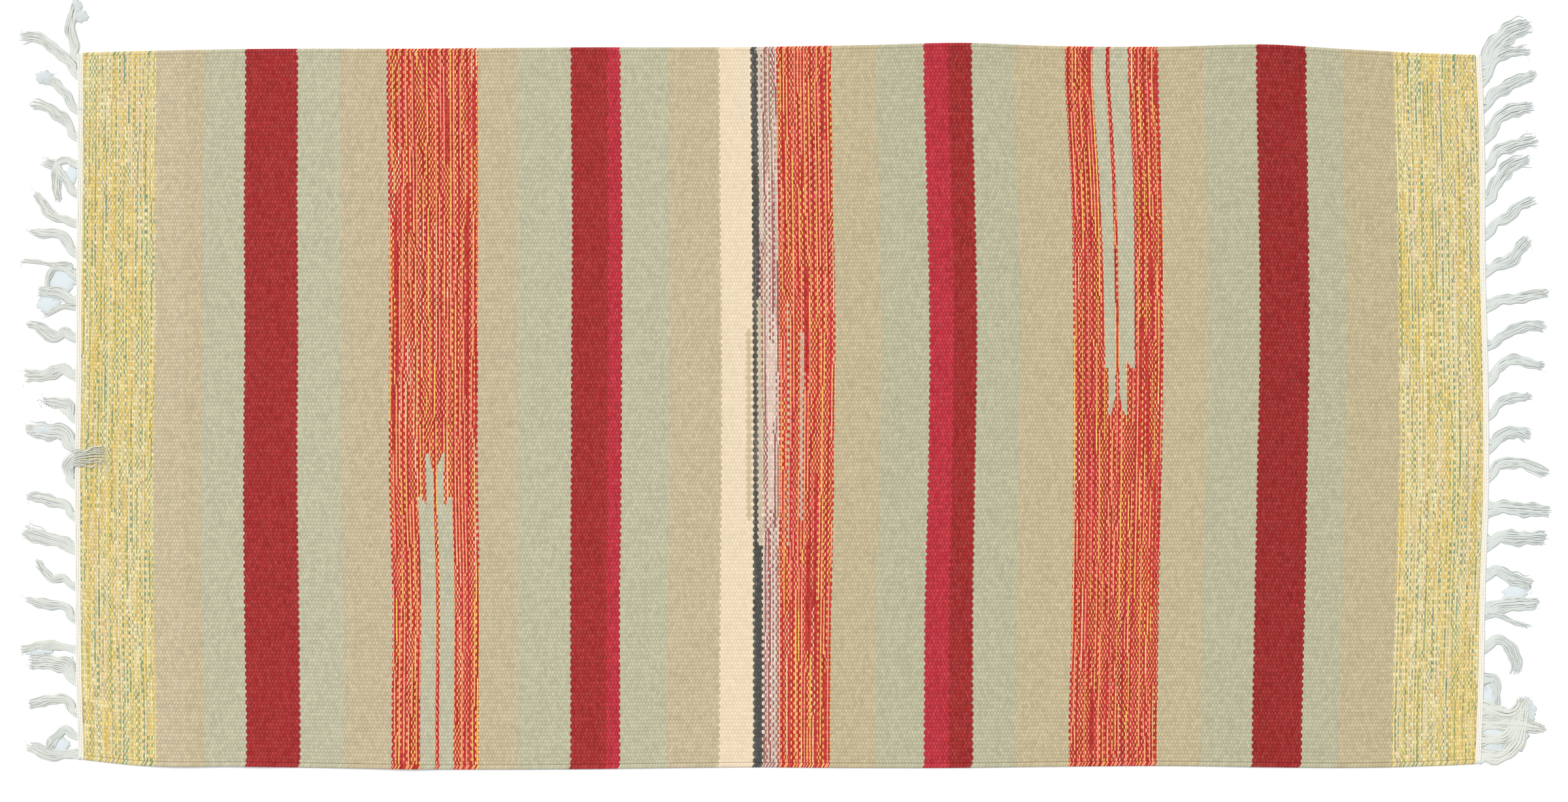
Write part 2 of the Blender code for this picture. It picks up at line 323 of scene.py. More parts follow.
def makeHeading(side):
    # three cords of two strands each, twined side by side across the ends of the warps
    tubes = Tubes(6)
    spacing = (heading["width"] - 2 * heading["margin"]) / heading["cords"]
    for cord in range(heading["cords"]):
        inward = spacing * (cord + 0.5) + heading["margin"] + heading["spread"] * cord
        ends = [longEdge(name, endEdge(side, sign * outline["halfWidth"]) - outward(side) * inward)
                for name, sign in (("near", -1), ("far", 1))]
        y = np.arange(ends[0] + heading["endInset"], ends[1] - heading["endInset"], heading["step"])
        turns = (1 if cord % 2 else -1) * 2 * np.pi * y / heading["twist"]
        sway = heading["sway"] * np.sin(y * heading["swayPace"] + cord * 2)
        middle = endEdge(side, y) - outward(side) * inward + sway
        core = np.column_stack((middle, y, 0 * y + heading["thickness"] * heading["coreHeight"]))
        tubes.add(core[::3], heading["coreRadius"], (cord + 0.25) / heading["cords"])
        for strand in (0, 1):
            angle = turns + strand * np.pi
            x = middle + heading["twistRadius"] * np.cos(angle)
            z = heading["thickness"] / 2 + heading["twistRadius"] * heading["strandFlatness"] * np.sin(angle)
            lump = heading["lumps"] * np.sin(y * heading["lumpPace"] + strand * 2 + cord)
            tubes.add(np.column_stack((x, y, z)), heading["strandRadius"] * (1 + lump),
                      (cord + 0.5 * strand) / heading["cords"], flat=heading["strandFlatness"])
    return tubes.finish("heading" + side.capitalize())


# Each tassel in millimetres: its place across the rug, its width, and its route, as (out from
# the end cord, up towards the far edge) from its root, where a third number is the height of its
# underside. Then what it has of its own: fan, how far its tip spreads, where 1 is as wide as its
# body; wideFrom, the share of its way where that starts; root, how far the warps of its root
# spread; slim, how much thinner its strands get; curls of loose wool at its tip; and its tint.
leftTassels = (
    (348, 9, ((3.4, 10.6), (7.5, 29), (5, 45), (1.5, 56)), {"curls": 12}),
    (332, 9, ((5, 8), (16, 18), (27, 29), (38.5, 36), (60, 37.5)), {"fan": 1.2}),
    (297, 8, ((10, 13.5), (17.6, 21), (25, 28), (38, 34)), {"fan": 1.2, "curls": 10}),
    (270, 9, ((10, 14), (20, 22), (31, 30), (50, 33)), {}),
    (243, 7, ((11, 4), (18, 2), (21.5, -18), (20, -30), (17, -39)), {}),
    (214, 8, ((10, 10.6), (17.6, 20.4), (23, 27), (31, 30), (37, 33)), {"fan": 1.2}),
    (184, 8, ((14, 4), (25, 8), (32.6, 16.5), (38.5, 25), (43.5, 33)), {"fan": 0.7}),
    (154, 9, ((10, 13), (17.7, 19.6), (29, 19.6), (38.6, 20.6), (49, 22.5)), {"fan": 0.45}),
    (136, 3, ((6, 6), (14.5, 8), (25, 7), (34, 9), (45, 10), (58, 10.4)), {"fan": 0.7}),
    (131, 5, ((10, 6), (22, 8), (29, -2), (28, -20)), {}),
    (106, 10, ((10, 5.5), (20, 9), (29, 9), (39, 13)), {}),
    (100, 4, ((12, 1), (24.6, -4.3), (34, -9)), {}),
    (70, 10, ((12, 6), (19.4, 0), (29, 4.2), (39, 12), (51, 13)), {"fan": 0.75}),
    (33, 11, ((12, 5.7), (21, 3.4), (34, 0), (54, 0)), {"fan": 1.1}),
    (-11, 9, ((7.6, 13.6), (16, 16), (34, 18)), {"root": 6, "fan": 0.7, "curls": 16}),
    (-38, 14, ((11, 12), (28, 15), (51, 16)), {"fan": 0.7}),
    (-76, 10, ((6, 8), (7, 16, 1.6), (1, 24, 3.6), (-14, 28, 3.4), (-33, 28, 3.4)),
     {"fan": 2.3, "wideFrom": 0.1, "slim": 0.4, "curls": 16}),
    (-108, 9, ((8, 10), (22, 15), (49, 21)), {}),
    (-140, 12, ((10, 5), (24, 9), (53, 19)), {"fan": 1.3}),
    (-177, 7, ((12, 8), (24, 7), (31, 14), (39, 27)), {}),
    (-210, 8, ((8, 11), (26, 14), (52, 20)), {}),
    (-240, 8, ((12, 2), (30, 4), (57, -1)), {"fan": 0.8}),
    (-270, 14, ((9, 12), (24, 16), (49, 17)), {}),
    (-303, 9, ((8, 10), (24, 13), (50, 6)), {}),
    (-327, 8, ((11, 7), (20, 1), (30, -12)), {}),
    (-344, 10, ((12, -1), (28, -1), (52, 9)), {"fan": 1.3}),
)
rightTassels = (
    (343, 17, ((12, 16), (28, 31), (50, 39)), {"root": 13}),
    (330, 9, ((10, 13), (26, 24), (50, 25)), {"root": 12}),
    (302, 11, ((10, 10), (26, 19), (55, 32)), {"fan": 0.6}),
    (271, 12, ((10, 13), (26, 25), (51, 30)), {"fan": 1.1}),
    (241, 10, ((10, 12), (28, 21), (54, 27)), {"fan": 1.2}),
    (208, 12, ((10, 14), (24, 32), (46, 41)), {}),
    (174, 9, ((10, 10), (24, 17), (34, 27), (52, 34)), {}),
    (137, 11, ((10, 4), (24, 10), (34, 21), (45, 33)), {}),
    (102, 10, ((10, 4), (28, 7), (63, 14)), {"fan": 0.8}),
    (63, 9, ((12, 7), (28, 15), (42, 20), (61, 15)), {}),
    (28, 9, ((8, 10), (18, 18), (58, 13)), {"fan": 0.8}),
    (-7, 8, ((8, 9), (20, 16), (44, 19)), {}),
    (-38, 11, ((10, 8), (26, 15), (42, 8)), {}),
    (-67, 10, ((9, 10), (22, 13), (61, 2)), {"fan": 0.8}),
    (-100, 13, ((12, 1), (28, 0), (64, -3)), {"fan": 0.8}),
    (-134, 13, ((12, 5), (28, 5), (61, 5)), {"fan": 0.9}),
    (-166, 11, ((9, 5), (22, -2), (48, -10)), {"fan": 1.2}),
    (-201, 14, ((12, 4), (28, 5), (55, 8)), {"fan": 0.5}),
    (-207, 4, ((12, 1), (26, -5), (46, -11)), {"fan": 0.9}),
    (-238, 10, ((10, 7), (23, 3), (30, -10), (33, -28)), {"fan": 1.2}),
    (-270, 8, ((10, 1), (13, -8), (12, -22), (8, -38)), {}),
    (-299, 13, ((12, -3), (26, -6), (35, -2), (40, 10)), {"fan": 0.8, "tint": (0.4, 1)}),
    (-315, 11, ((14, -1), (30, -1), (65, -5)), {"fan": 0.7, "tint": (0.4, 1)}),
    (-331, 10, ((12, 1), (24, 4), (33, 16), (37, 30)), {"tint": (0.4, 1)}),
    (-345, 14, ((12, -3), (22, -1), (33, 9), (39, 28), (41, 57)), {"fan": 0.6, "tint": (0.4, 1)}),
)
fringe = {
    "strandRadius": 0.62,  # mm, as every length here
    "strandFlatness": 0.55,
    "strandGap": 1.08,
    "layerStep": 0.62,
    "gather": 6.5,
    "reach": {"left": 0.44, "right": 0.6},  # spread of the root's warps, as a share of the width
    "tint": {"left": (0.0, 1.0), "right": (-0.35, 0.4)},  # from the darker cotton to the paler
    "rootHeight": 1.3,
    "fullness": 1.08,
    "wave": 0.45,
    "fan": 0.95,
    "lumps": 0.17,
    "hairs": 4,
    "hairRadius": 0.17,
    "hairLength": (3, 8),
    "curls": 2,
    "woolly": 0.22,  # how far back from the tip the curls reach, as a share of the tassel
    "curlRadius": 0.2,
    "curlStep": 0.75,
    "curlSteps": 10,
    "curlWander": 0.55,
    "rootPoints": 8,
    "bodyPoints": 19,
    "padPoints": 34,
    "padHeight": 0.9,
}

# Thin pads in millimetres, at woolly tips and in hollows between tassels: at tips tangled wool, in the
# hollows pale bluish sheets of painted shade, the more so the nearer the tint is to 1.5. For each: how far
# across the rug and out from the cord the middle lies, the reach out and across, the tint, and any turn or
# height of its own
pads = {
    "left": (
        (400, 0.5, (4.5, 8), 1.2, {"turn": -8, "height": 1.6}),
        (390, -2.0, (8, 7), 1.2, {"turn": 20, "height": 1.5}),
        (329, 33, (9, 7), 1.15, {"turn": 25, "height": 2.3}),
        (231, 6.5, (7, 11), 1.5, {"turn": 10}),
        (128, 13, (14, 15), 1.5, {}),
        (105, 27, (12, 10), 1.5, {"turn": -10}),
        (0, 9, (6, 8), 0.7, {}),
        (-66, 3.5, (4, 8), 0.7, {}),
        (-243, 36, (13, 4), 1.4, {"turn": -4, "height": 1.3}),
        (-257, 6, (5, 9), 1.5, {}),
        (-336, 18, (9, 8), 1.5, {"turn": 10}),
        (-22, 32, (12, 5.5), 1.3, {"turn": 6, "height": 2.3}),
    ),
    "right": (
        (336, 3.5, (5.5, 14), 0.7, {}),
        (-183, 31, (14, 9), 1.5, {"turn": 10}),
        (-288, 5.5, (8, 14), 1.5, {}),
        (-304, 9, (9, 7), 1.2, {}),
        (-323, 14, (16, 9), 1.5, {}),
        (-339, 12, (13, 7), 1.3, {}),
        (-322, 33, (13, 19), 1.2, {"turn": 10, "height": 1.4}),
        (-300, 45, (8, 12), 1.2, {"turn": 35}),
    ),
}


def tasselLine(tassel):
    # the middle line of a tassel as it lies, in (out, up, height), with its direction
    steps = [(1.2, 0, 0), (3.2, 0, 0)]
    steps += [(*step, 0) if len(step) == 2 else step for step in tassel["route"]]
    steps = np.array(steps, float)
    distances = np.concatenate(([0], np.cumsum(np.linalg.norm(np.diff(steps, axis=0), axis=1))))
    at = np.linspace(0, distances[-1], 120)
    line = np.stack([smoothCurve(distances, steps[:, axis], at) for axis in range(3)], axis=1)
    tangent = np.gradient(line[:, :2], axis=0)
    tangent /= np.linalg.norm(tangent, axis=1, keepdims=True)
    return at, line, tangent


def readLine(at, values, where):
    return np.stack([np.interp(where, at, values[:, axis]) for axis in range(values.shape[1])], axis=1)


def toWorld(side, tassel, flat):
    # from (out, up, height) in millimetres to a place beside the rug's end
    y = (tassel["place"] + flat[:, 1]) * mm
    x = endEdge(side, y) + outward(side) * flat[:, 0] * mm
    return np.column_stack((x, y, flat[:, 2] * mm))


def tasselWidth(tassel, share):
    fan = tassel.get("fan", fringe["fan"])
    swell = 0.66 + 0.34 * np.clip(share / 0.4, 0, 1) ** 0.8
    wideFrom = tassel.get("wideFrom", 0.62 if fan > 1 else 0.42)
    spread = 1 + (fan - 1) * np.clip((share - wideFrom) / (1 - wideFrom), 0, 1.15) ** 1.4
    return tassel["width"] / 2 * fringe["fullness"] * swell * spread


def tasselLump(where, lateral, phases):
    # the outline of a tassel swells and narrows a little along its way, each side in its own manner
    first = 0 if lateral < 0 else 2
    lump = np.sin(where / 5.0 + phases[first]) + 0.7 * np.sin(where / 2.3 + phases[first + 1])
    return 1 + fringe["lumps"] * abs(lateral) * lump


def addStrand(tubes, side, tassel, shape, lateral, layer, rootUp):
    at, line, tangent, phases = shape
    length = at[-1]
    start = fringe["gather"] * (0.8 + 0.35 * abs(lateral))
    end = length * (1.0 - dice.uniform(0, 0.16) ** 1.3 - 0.05 * lateral * lateral)
    where = np.linspace(start, end, fringe["bodyPoints"])
    middle = readLine(at, line, where)
    ahead = readLine(at, tangent, where)
    normal = np.column_stack((-ahead[:, 1], ahead[:, 0]))
    share = where / length
    drift = lateral + dice.normal(0, 0.10) * share + dice.normal(0, 0.16) * np.clip(share - 0.6, 0, 1) / 0.4
    wave = fringe["wave"] * (np.sin(where / dice.uniform(3.0, 5.5) + dice.uniform(0, 6.28))
                             + 0.6 * np.sin(where / 2.1 + dice.uniform(0, 6.28))) * (0.25 + 0.75 * share)
    offset = drift * tasselWidth(tassel, share) * tasselLump(where, lateral, phases) + wave * 0.6
    flat = middle.copy()
    flat[:, :2] += normal * offset[:, None]
    dome = (1 - lateral * lateral) * 0.5
    flat[:, 2] = middle[:, 2] + fringe["strandRadius"] + (layer + dome) * fringe["layerStep"]
    flat[:, 2] -= layer * fringe["layerStep"] * 0.5 * np.clip(share - 0.5, 0, 0.5)

    t = np.linspace(0, 1, fringe["rootPoints"], endpoint=False)[:, None]
    begin = np.array((-1.2, rootUp, fringe["rootHeight"]))
    leave = np.array((1.0 + 0.9 * dice.random(), rootUp * 0.8, fringe["rootHeight"]))
    arrive = flat[0] - np.array((*ahead[0], 0)) * start * 0.4
    arrive[2] = 0.5 * (fringe["rootHeight"] + flat[0, 2])
    root = begin * (1 - t) ** 3 + leave * 3 * t * (1 - t) ** 2
    root = root + arrive * 3 * t * t * (1 - t) + flat[0] * t ** 3
    flat = np.concatenate((root, flat))
    radius = fringe["strandRadius"] * dice.uniform(0.85, 1.2) * np.ones(len(flat))
    taper = np.linspace(0, 1, len(flat))
    radius *= 1 - 0.6 * np.clip((taper - 0.86) / 0.14, 0, 1) ** 1.5
    radius *= 1 - tassel.get("slim", 0) * np.clip((taper - 0.35) / 0.3, 0, 1)
    flat[:, 2] = np.maximum(flat[:, 2], radius * 0.85)
    tint = dice.uniform(*tassel.get("tint", fringe["tint"][side]))
    tubes.add(toWorld(side, tassel, flat), radius * mm, tint, flat=fringe["strandFlatness"])


def addHair(tubes, side, tassel, shape):
    # a fine loose fibre, mostly at the frayed tip
    at, line, tangent, phases = shape
    start = at[-1] * (1 - 0.75 * dice.random() ** 1.8)
    reach = dice.uniform(*fringe["hairLength"])
    steps = np.linspace(0, 1, 8)
    where = np.minimum(start + steps * reach * 0.5, at[-1])
    beyond = np.maximum(start + steps * reach * 0.6 - at[-1], 0)
    middle = readLine(at, line, where)
    ahead = readLine(at, tangent, where)
    normal = np.column_stack((-ahead[:, 1], ahead[:, 0]))
    lateral = dice.choice((-1, 1)) * dice.random() ** 0.5
    offset = lateral * tasselWidth(tassel, where / at[-1]) * tasselLump(where, lateral, phases)
    offset += np.sign(lateral) * reach * 0.3 * steps ** 2 * dice.random()
    flat = middle
    flat[:, :2] += normal * offset[:, None] + ahead * beyond[:, None]
    flat[:, 2] += fringe["hairRadius"] + dice.uniform(0.2, 1.4) * (1 - steps)
    radius = fringe["hairRadius"] * (1 - 0.6 * steps) * mm
    tubes.add(toWorld(side, tassel, flat), radius, dice.random())


def addCurl(tubes, side, tassel, start, tint):
    # one curl of loose wool, which wanders from where it starts
    direction = dice.uniform(0, 6.28) + np.cumsum(dice.normal(0, fringe["curlWander"], fringe["curlSteps"]))
    steps = np.column_stack((np.cos(direction), np.sin(direction))) * fringe["curlStep"]
    flat = np.zeros((fringe["curlSteps"], 3))
    flat[:, :2] = np.asarray(start)[:2] + np.cumsum(steps, axis=0)
    lift = start[2] + 0.3 + 0.9 * dice.random()
    flat[:, 2] = lift + 0.35 * np.sin(np.linspace(0, 4, fringe["curlSteps"]) + dice.uniform(0, 6.28))
    flat[:, 2] = np.maximum(flat[:, 2], fringe["curlRadius"])
    tubes.add(toWorld(side, tassel, flat), fringe["curlRadius"] * mm, tint)


def addTipWool(tubes, side, tassel, shape):
    # curls of loose wool about the tip
    at, line, tangent = shape[:3]
    for _ in range(tassel.get("curls", fringe["curls"])):
        where = at[-1] * (1 - fringe["woolly"] * abs(dice.normal(0, 0.5)))
        middle = readLine(at, line, [where])[0]
        ahead = readLine(at, tangent, [where])[0]
        lateral = dice.normal(0, 0.55) * tasselWidth(tassel, where / at[-1])
        start = (middle[0] - ahead[1] * lateral, middle[1] + ahead[0] * lateral, middle[2])
        addCurl(tubes, side, tassel, start, dice.random())


# a thin pad: tangled wool at a tip, or at a tint near 1.5 a pale sheet of painted shade in a hollow
def addPad(tubes, side, pad):
    sides = fringe["padPoints"]
    around = np.linspace(0, 2 * np.pi, sides, endpoint=False) * -outward(side)
    phases = dice.uniform(0, 6.28, 4)
    rim = 1 + sum(size * np.sin(around * count + phase)
                  for size, count, phase in zip((0.11, 0.08, 0.06, 0.05), (2, 5, 9, 14), phases))
    section = ((1.0, 0.03), (0.92, 0.3), (0.72, 0.68), (0.42, 0.94), (0.12, 1.0))
    share, height = np.array(section).T[:, :, None]
    turn = np.radians(pad.get("turn", 0))
    along = np.cos(around) * rim * share * pad["reach"][0]
    up = np.sin(around) * rim * share * pad["reach"][1]
    lift = height * pad.get("height", fringe["padHeight"])
    lift = lift * (1 + 0.18 * np.sin(along * 1.1 + phases[0]) * np.sin(up * 0.9))
    flat = np.stack((pad["out"] + along * np.cos(turn) - up * np.sin(turn),
                     along * np.sin(turn) + up * np.cos(turn), lift), axis=-1)
    rings = toWorld(side, pad, flat.reshape(-1, 3)).reshape(flat.shape)
    tubes.addRings(rings, np.stack((along * 1.5, up * 0.5, lift), axis=-1), pad["tint"])
    for _ in range(round((pad["reach"][0] + pad["reach"][1]) * 0.2)):
        angle = dice.uniform(0, 6.28)
        out = pad["out"] + pad["reach"][0] * 0.9 * np.cos(angle)
        addCurl(tubes, side, pad, (out, pad["reach"][1] * 0.9 * np.sin(angle), 0), pad["tint"])


def makeFringe(side, rows):
    tubes = Tubes(5)
    hairs = Tubes(3)
    tassels = [{"place": place, "width": width, "route": route, **own} for place, width, route, own in rows]
    places = [tassel["place"] for tassel in tassels]
    for index, tassel in enumerate(tassels):
        shape = (*tasselLine(tassel), dice.uniform(0, 6.28, 4))
        above = (places[index - 1] - tassel["place"]) / 2 if index else 10
        below = (tassel["place"] - places[index + 1]) / 2 if index + 1 < len(places) else 10
        reach = tassel.get("root", 1.5 + fringe["reach"][side] * tassel["width"])
        above, below = min(above, reach), min(below, reach)
        for layer, thin in ((0, 1.2), (1, 1.0)):
            count = max(3, round(tassel["width"] * fringe["fullness"] / fringe["strandGap"] / thin))
            for lateral in np.linspace(-1, 1, count) * (1 if layer == 0 else 0.86):
                upShare = (1 + lateral) / 2
                rootUp = -below + (above + below) * upShare + dice.normal(0, 0.5)
                addStrand(tubes, side, tassel, shape, lateral, layer, rootUp)
        for _ in range(fringe["hairs"]):
            addHair(hairs, side, tassel, shape)
        addTipWool(hairs, side, tassel, shape)
    for place, out, reach, tint, own in pads[side]:
        addPad(hairs, side, {"place": place, "out": out, "reach": reach, "tint": tint, **own})
    body = tubes.finish("fringe" + side.capitalize())
    loose = hairs.finish("loose" + side.capitalize())
    return joinInto(body, loose)


def joinInto(body, other):
    bpy.ops.object.select_all(action="DESELECT")
    for piece in (body, other):
        piece.select_set(True)
    bpy.context.view_layer.objects.active = body
    bpy.ops.object.join()
    return body


looseThread = {
    "start": (-0.6995, 0.2975, 3.35 * mm),
    "length": 0.0345,
    "bend": 0.0035,
    "wave": 0.0003,
    "drop": 0.5 * mm,
    "radius": 0.26 * mm,
    "tint": 0.95,
}


def addLooseThread(body):
    # one thin thread of the fringe that lies back over the cloth near the far edge
    tubes = Tubes(5)
    t = np.linspace(0, 1, 24)
    x = looseThread["start"][0] + looseThread["length"] * t
    y = looseThread["start"][1] - looseThread["bend"] * t ** 1.5 + looseThread["wave"] * np.sin(t * 19)
    z = looseThread["start"][2] - looseThread["drop"] * np.clip(t / 0.25, 0, 1)
    tubes.add(np.column_stack((x, y, z)), looseThread["radius"] * (1 - 0.5 * t), looseThread["tint"])
    return joinInto(body, tubes.finish("looseThread"))


def dye(red, green, blue, strength=1.0):
    def linear(value):
        value = value / 255
        return value / 12.92 if value <= 0.04045 else ((value + 0.055) / 1.055) ** 2.4
    return (*(min(1.0, linear(value) * strength) for value in (red, green, blue)), 1.0)


class Signal:
    # a number that changes over the surface, worked out by Math nodes
    def __init__(self, tree, socket):
        self.tree = tree
        self.socket = socket

    def calc(self, operation, *others):
        node = self.tree.nodes.new("ShaderNodeMath")
        node.operation = operation
        for plug, value in zip(node.inputs, (self, *others)):
            connect(self.tree, plug, value)
        return Signal(self.tree, node.outputs[0])

    def between(self, low, high):
        return (self > low) * (self < high)

    def scaled(self, fromLow, fromHigh, toLow, toHigh):
        node = self.tree.nodes.new("ShaderNodeMapRange")
        for plug, value in zip(node.inputs, (self, fromLow, fromHigh, toLow, toHigh)):
            connect(self.tree, plug, value)
        return Signal(self.tree, node.outputs[0])


for method, operation in (("__add__", "ADD"), ("__sub__", "SUBTRACT"), ("__mul__", "MULTIPLY"),
                          ("__truediv__", "DIVIDE"), ("__gt__", "GREATER_THAN"), ("__lt__", "LESS_THAN"),
                          ("lowest", "MINIMUM"), ("highest", "MAXIMUM"), ("floor", "FLOOR"),
                          ("fract", "FRACT"), ("size", "ABSOLUTE")):
    setattr(Signal, method, partialmethod(Signal.calc, operation))


def connect(tree, plug, value):
    if isinstance(value, Signal):
        tree.links.new(value.socket, plug)
    elif isinstance(value, bpy.types.NodeSocket):
        tree.links.new(value, plug)
    else:
        plug.default_value = value


def attributeParts(tree, name):
    node = tree.nodes.new("ShaderNodeAttribute")
    node.attribute_name = name
    split = tree.nodes.new("ShaderNodeSeparateXYZ")
    tree.links.new(node.outputs["Vector"], split.inputs[0])
    return [Signal(tree, output) for output in split.outputs]


def point(tree, x, y, z=0.0):
    node = tree.nodes.new("ShaderNodeCombineXYZ")
    for plug, value in zip(node.inputs, (x, y, z)):
        connect(tree, plug, value)
    return node.outputs[0]


def scatter(tree, x, y=0.0, z=0.0):
    # an even random number for each whole-number place, and another set of them for another z
    node = tree.nodes.new("ShaderNodeTexWhiteNoise")
    node.noise_dimensions = "3D"
    tree.links.new(point(tree, x, y, z), node.inputs["Vector"])
    return Signal(tree, node.outputs["Value"])


def clouds(tree, where, scale, detail=2.0):
    node = tree.nodes.new("ShaderNodeTexNoise")
    tree.links.new(where, node.inputs["Vector"])
    node.inputs["Scale"].default_value = scale
    node.inputs["Detail"].default_value = detail
    return Signal(tree, node.outputs["Fac"])


def blend(tree, share, first, second, mode="MIX"):
    node = tree.nodes.new("ShaderNodeMix")
    node.data_type = "RGBA"
    node.blend_type = mode
    connect(tree, node.inputs[0], share)
    connect(tree, node.inputs[6], first)
    connect(tree, node.inputs[7], second)
    return node.outputs[2]


def palette(tree, number, colors):
    # one of several yarn colours, picked by a random number from 0 to 1
    node = tree.nodes.new("ShaderNodeValToRGB")
    node.color_ramp.interpolation = "CONSTANT"
    stops = node.color_ramp.elements
    while len(stops) < len(colors):
        stops.new(1.0)
    for stop, (start, color) in zip(stops, colors):
        stop.position = start
        stop.color = color
    connect(tree, node.inputs[0], number)
    return node.outputs[0]


def newMaterial(name, specular, sheen):
    material = bpy.data.materials.new(name)
    material.use_nodes = True
    tree = material.node_tree
    shader = tree.nodes["Principled BSDF"]
    shader.inputs["Specular IOR Level"].default_value = specular
    shader.inputs["Sheen Weight"].default_value = sheen
    shader.inputs["Sheen Roughness"].default_value = 0.5
    return material, tree, shader


def bumped(tree, shader, height, strength, distance):
    node = tree.nodes.new("ShaderNodeBump")
    node.inputs["Strength"].default_value = strength
    node.inputs["Distance"].default_value = distance
    connect(tree, node.inputs["Height"], height)
    tree.links.new(node.outputs["Normal"], shader.inputs["Normal"])


light = 0.80  # the dyes are darkened to this share, because the scene's light brightens them

# Sage and brick come as lit and shaded copies of one yarn, and the beiges darken the same way: painted shade
# that makes them darker towards the right end
yarns = {
    "pinkBeige": (203, 188, 155),
    "oliveBeige": (200, 184, 149),
    "beige": (199, 183, 150),
    "warmBeige": (197, 181, 145),
    "lastBeige": (195, 180, 143),
    "paleSage": (193, 188, 160),
    "sage": (191, 187, 158),
    "deepSage": (188, 183, 153),
    "brick": (164, 41, 41),
    "deepBrick": (159, 38, 37),
    "darkBrick": (154, 36, 35),
    "crimson": (187, 44, 57),
    "cream": (240, 219, 188),
    "charcoal": (75, 75, 70),
    "mottle": (200, 60, 55),
    "patchRed": (196, 46, 53),
    "straw": (216, 202, 151),
    "rose": (202, 172, 157),
}

# The stripes from the left end to the right one: the yarn, and where it ends in millimetres
stripes = (
    ("straw", -623.3), ("pinkBeige", -594.7), ("oliveBeige", -575.2), ("paleSage", -533.8),
    ("brick", -480.7), ("paleSage", -436.8), ("beige", -389.3), ("mottle", -302.2),
    ("beige", -262.0), ("sage", -208.3), ("brick", -171.5), ("crimson", -158.1),
    ("sage", -111.0), ("beige", -59.6), ("cream", -27.0), ("charcoal", -20.5),
    ("rose", -1.3), ("mottle", 53.7), ("warmBeige", 99.9), ("deepSage", 148.1),
    ("crimson", 172.2), ("deepBrick", 194.7), ("deepSage", 237.9), ("warmBeige", 292.0),
    ("mottle", 380.4), ("warmBeige", 425.4), ("deepSage", 476.2), ("darkBrick", 525.7),
    ("deepSage", 563.5), ("lastBeige", 616.2), ("straw", 800.0),
)

# The forked tongues: the middle and the tip of each in millimetres, and which way it points
tongues = (
    {"middle": -344.4, "tip": -44.3, "turn": 1, "drift": 0.0, "skew": 0.0, "block": 16.7},
    {"middle": 335.6, "tip": -7.8, "turn": -1, "drift": 2.2, "skew": -2.3, "block": 14.7},
)
tongueShape = {
    "notch": 17.0,  # depth of the fork between its two prongs
    "inner": 1.9,
    "outer": 8.9,
    "prong": 2.2,  # width of a prong at its tip
    "flare": 0.8,  # how much further out the tips stand
    "barbStart": 44.0,
    "barbEnd": 57.0,
    "barbTip": 2.6,
    "barbRoot": 3.6,
    "block": 16.7,  # half its full width, which some tongues reach late
    "late": (100, 250),
    "length": 320,
}

# Short runs of a few picks near the middle: from and to along the rug, from and to across it
runs = (
    {"yarn": (212, 192, 155), "along": (-33.0, -29.4), "across": (-113, 76)},
    {"yarn": (205, 188, 160), "along": (-22.0, -18.6), "across": (-137, 105)},
    {"yarn": (75, 75, 70), "along": (-18.6, -17.4), "across": (-137, -85)},
    {"yarn": (75, 75, 70), "along": (-24.0, -17.4), "across": (-400, -137)},
    {"yarn": (206, 178, 150), "along": (6.4, 9.0), "across": (-138, 103)},
    {"yarn": (206, 176, 156), "along": (19.8, 23.4), "across": (-112, 75)},
)

# Each pick of a mottled stripe holds a plain strand and a fancy one. With each colour goes the
# number from 0 to 1 where its share starts.
plainReds = ((0.00, (187, 41, 38)), (0.34, (198, 45, 47)), (0.62, (179, 40, 35)), (0.80, (199, 52, 42)))
fancyReds = (
    (0.00, (210, 66, 54)), (0.05, (254, 178, 108)), (0.32, (254, 171, 119)), (0.57, (252, 150, 116)),
    (0.73, (253, 198, 99)), (0.94, (252, 206, 155)),
)
plainStraws = ((0.00, (232, 220, 163)), (0.40, (235, 210, 129)), (0.70, (235, 215, 168)))
fancyStraws = (
    (0.00, (126, 155, 124)), (0.14, (176, 176, 108)), (0.38, (228, 198, 142)), (0.58, (223, 189, 100)),
    (0.77, (180, 166, 138)), (0.89, (237, 224, 184)),
)
plainRoses = ((0.00, (166, 99, 93)), (0.42, (214, 198, 176)), (0.62, (175, 134, 115)),
              (0.82, (230, 202, 184)))
fancyRoses = ((0.00, (235, 210, 196)), (0.36, (224, 212, 192)), (0.62, (230, 190, 178)),
              (0.82, (240, 226, 210)))
plainCoals = ((0.00, (82, 78, 71)), (0.50, (92, 88, 81)))
fancyCoals = ((0.00, (98, 96, 90)), (0.40, (122, 116, 106)), (0.70, (82, 78, 70)))

# A darker yarn bulges over a paler one beside it: the higher of two neighbours lies on top
rank = {
    "straw": 1, "rose": 1, "mottle": 2, "crimson": 2, "brick": 2, "deepBrick": 2, "darkBrick": 2,
    "charcoal": 3,
}


def dyed(colors):
    return [(start, dye(*color, light)) for start, color in colors]


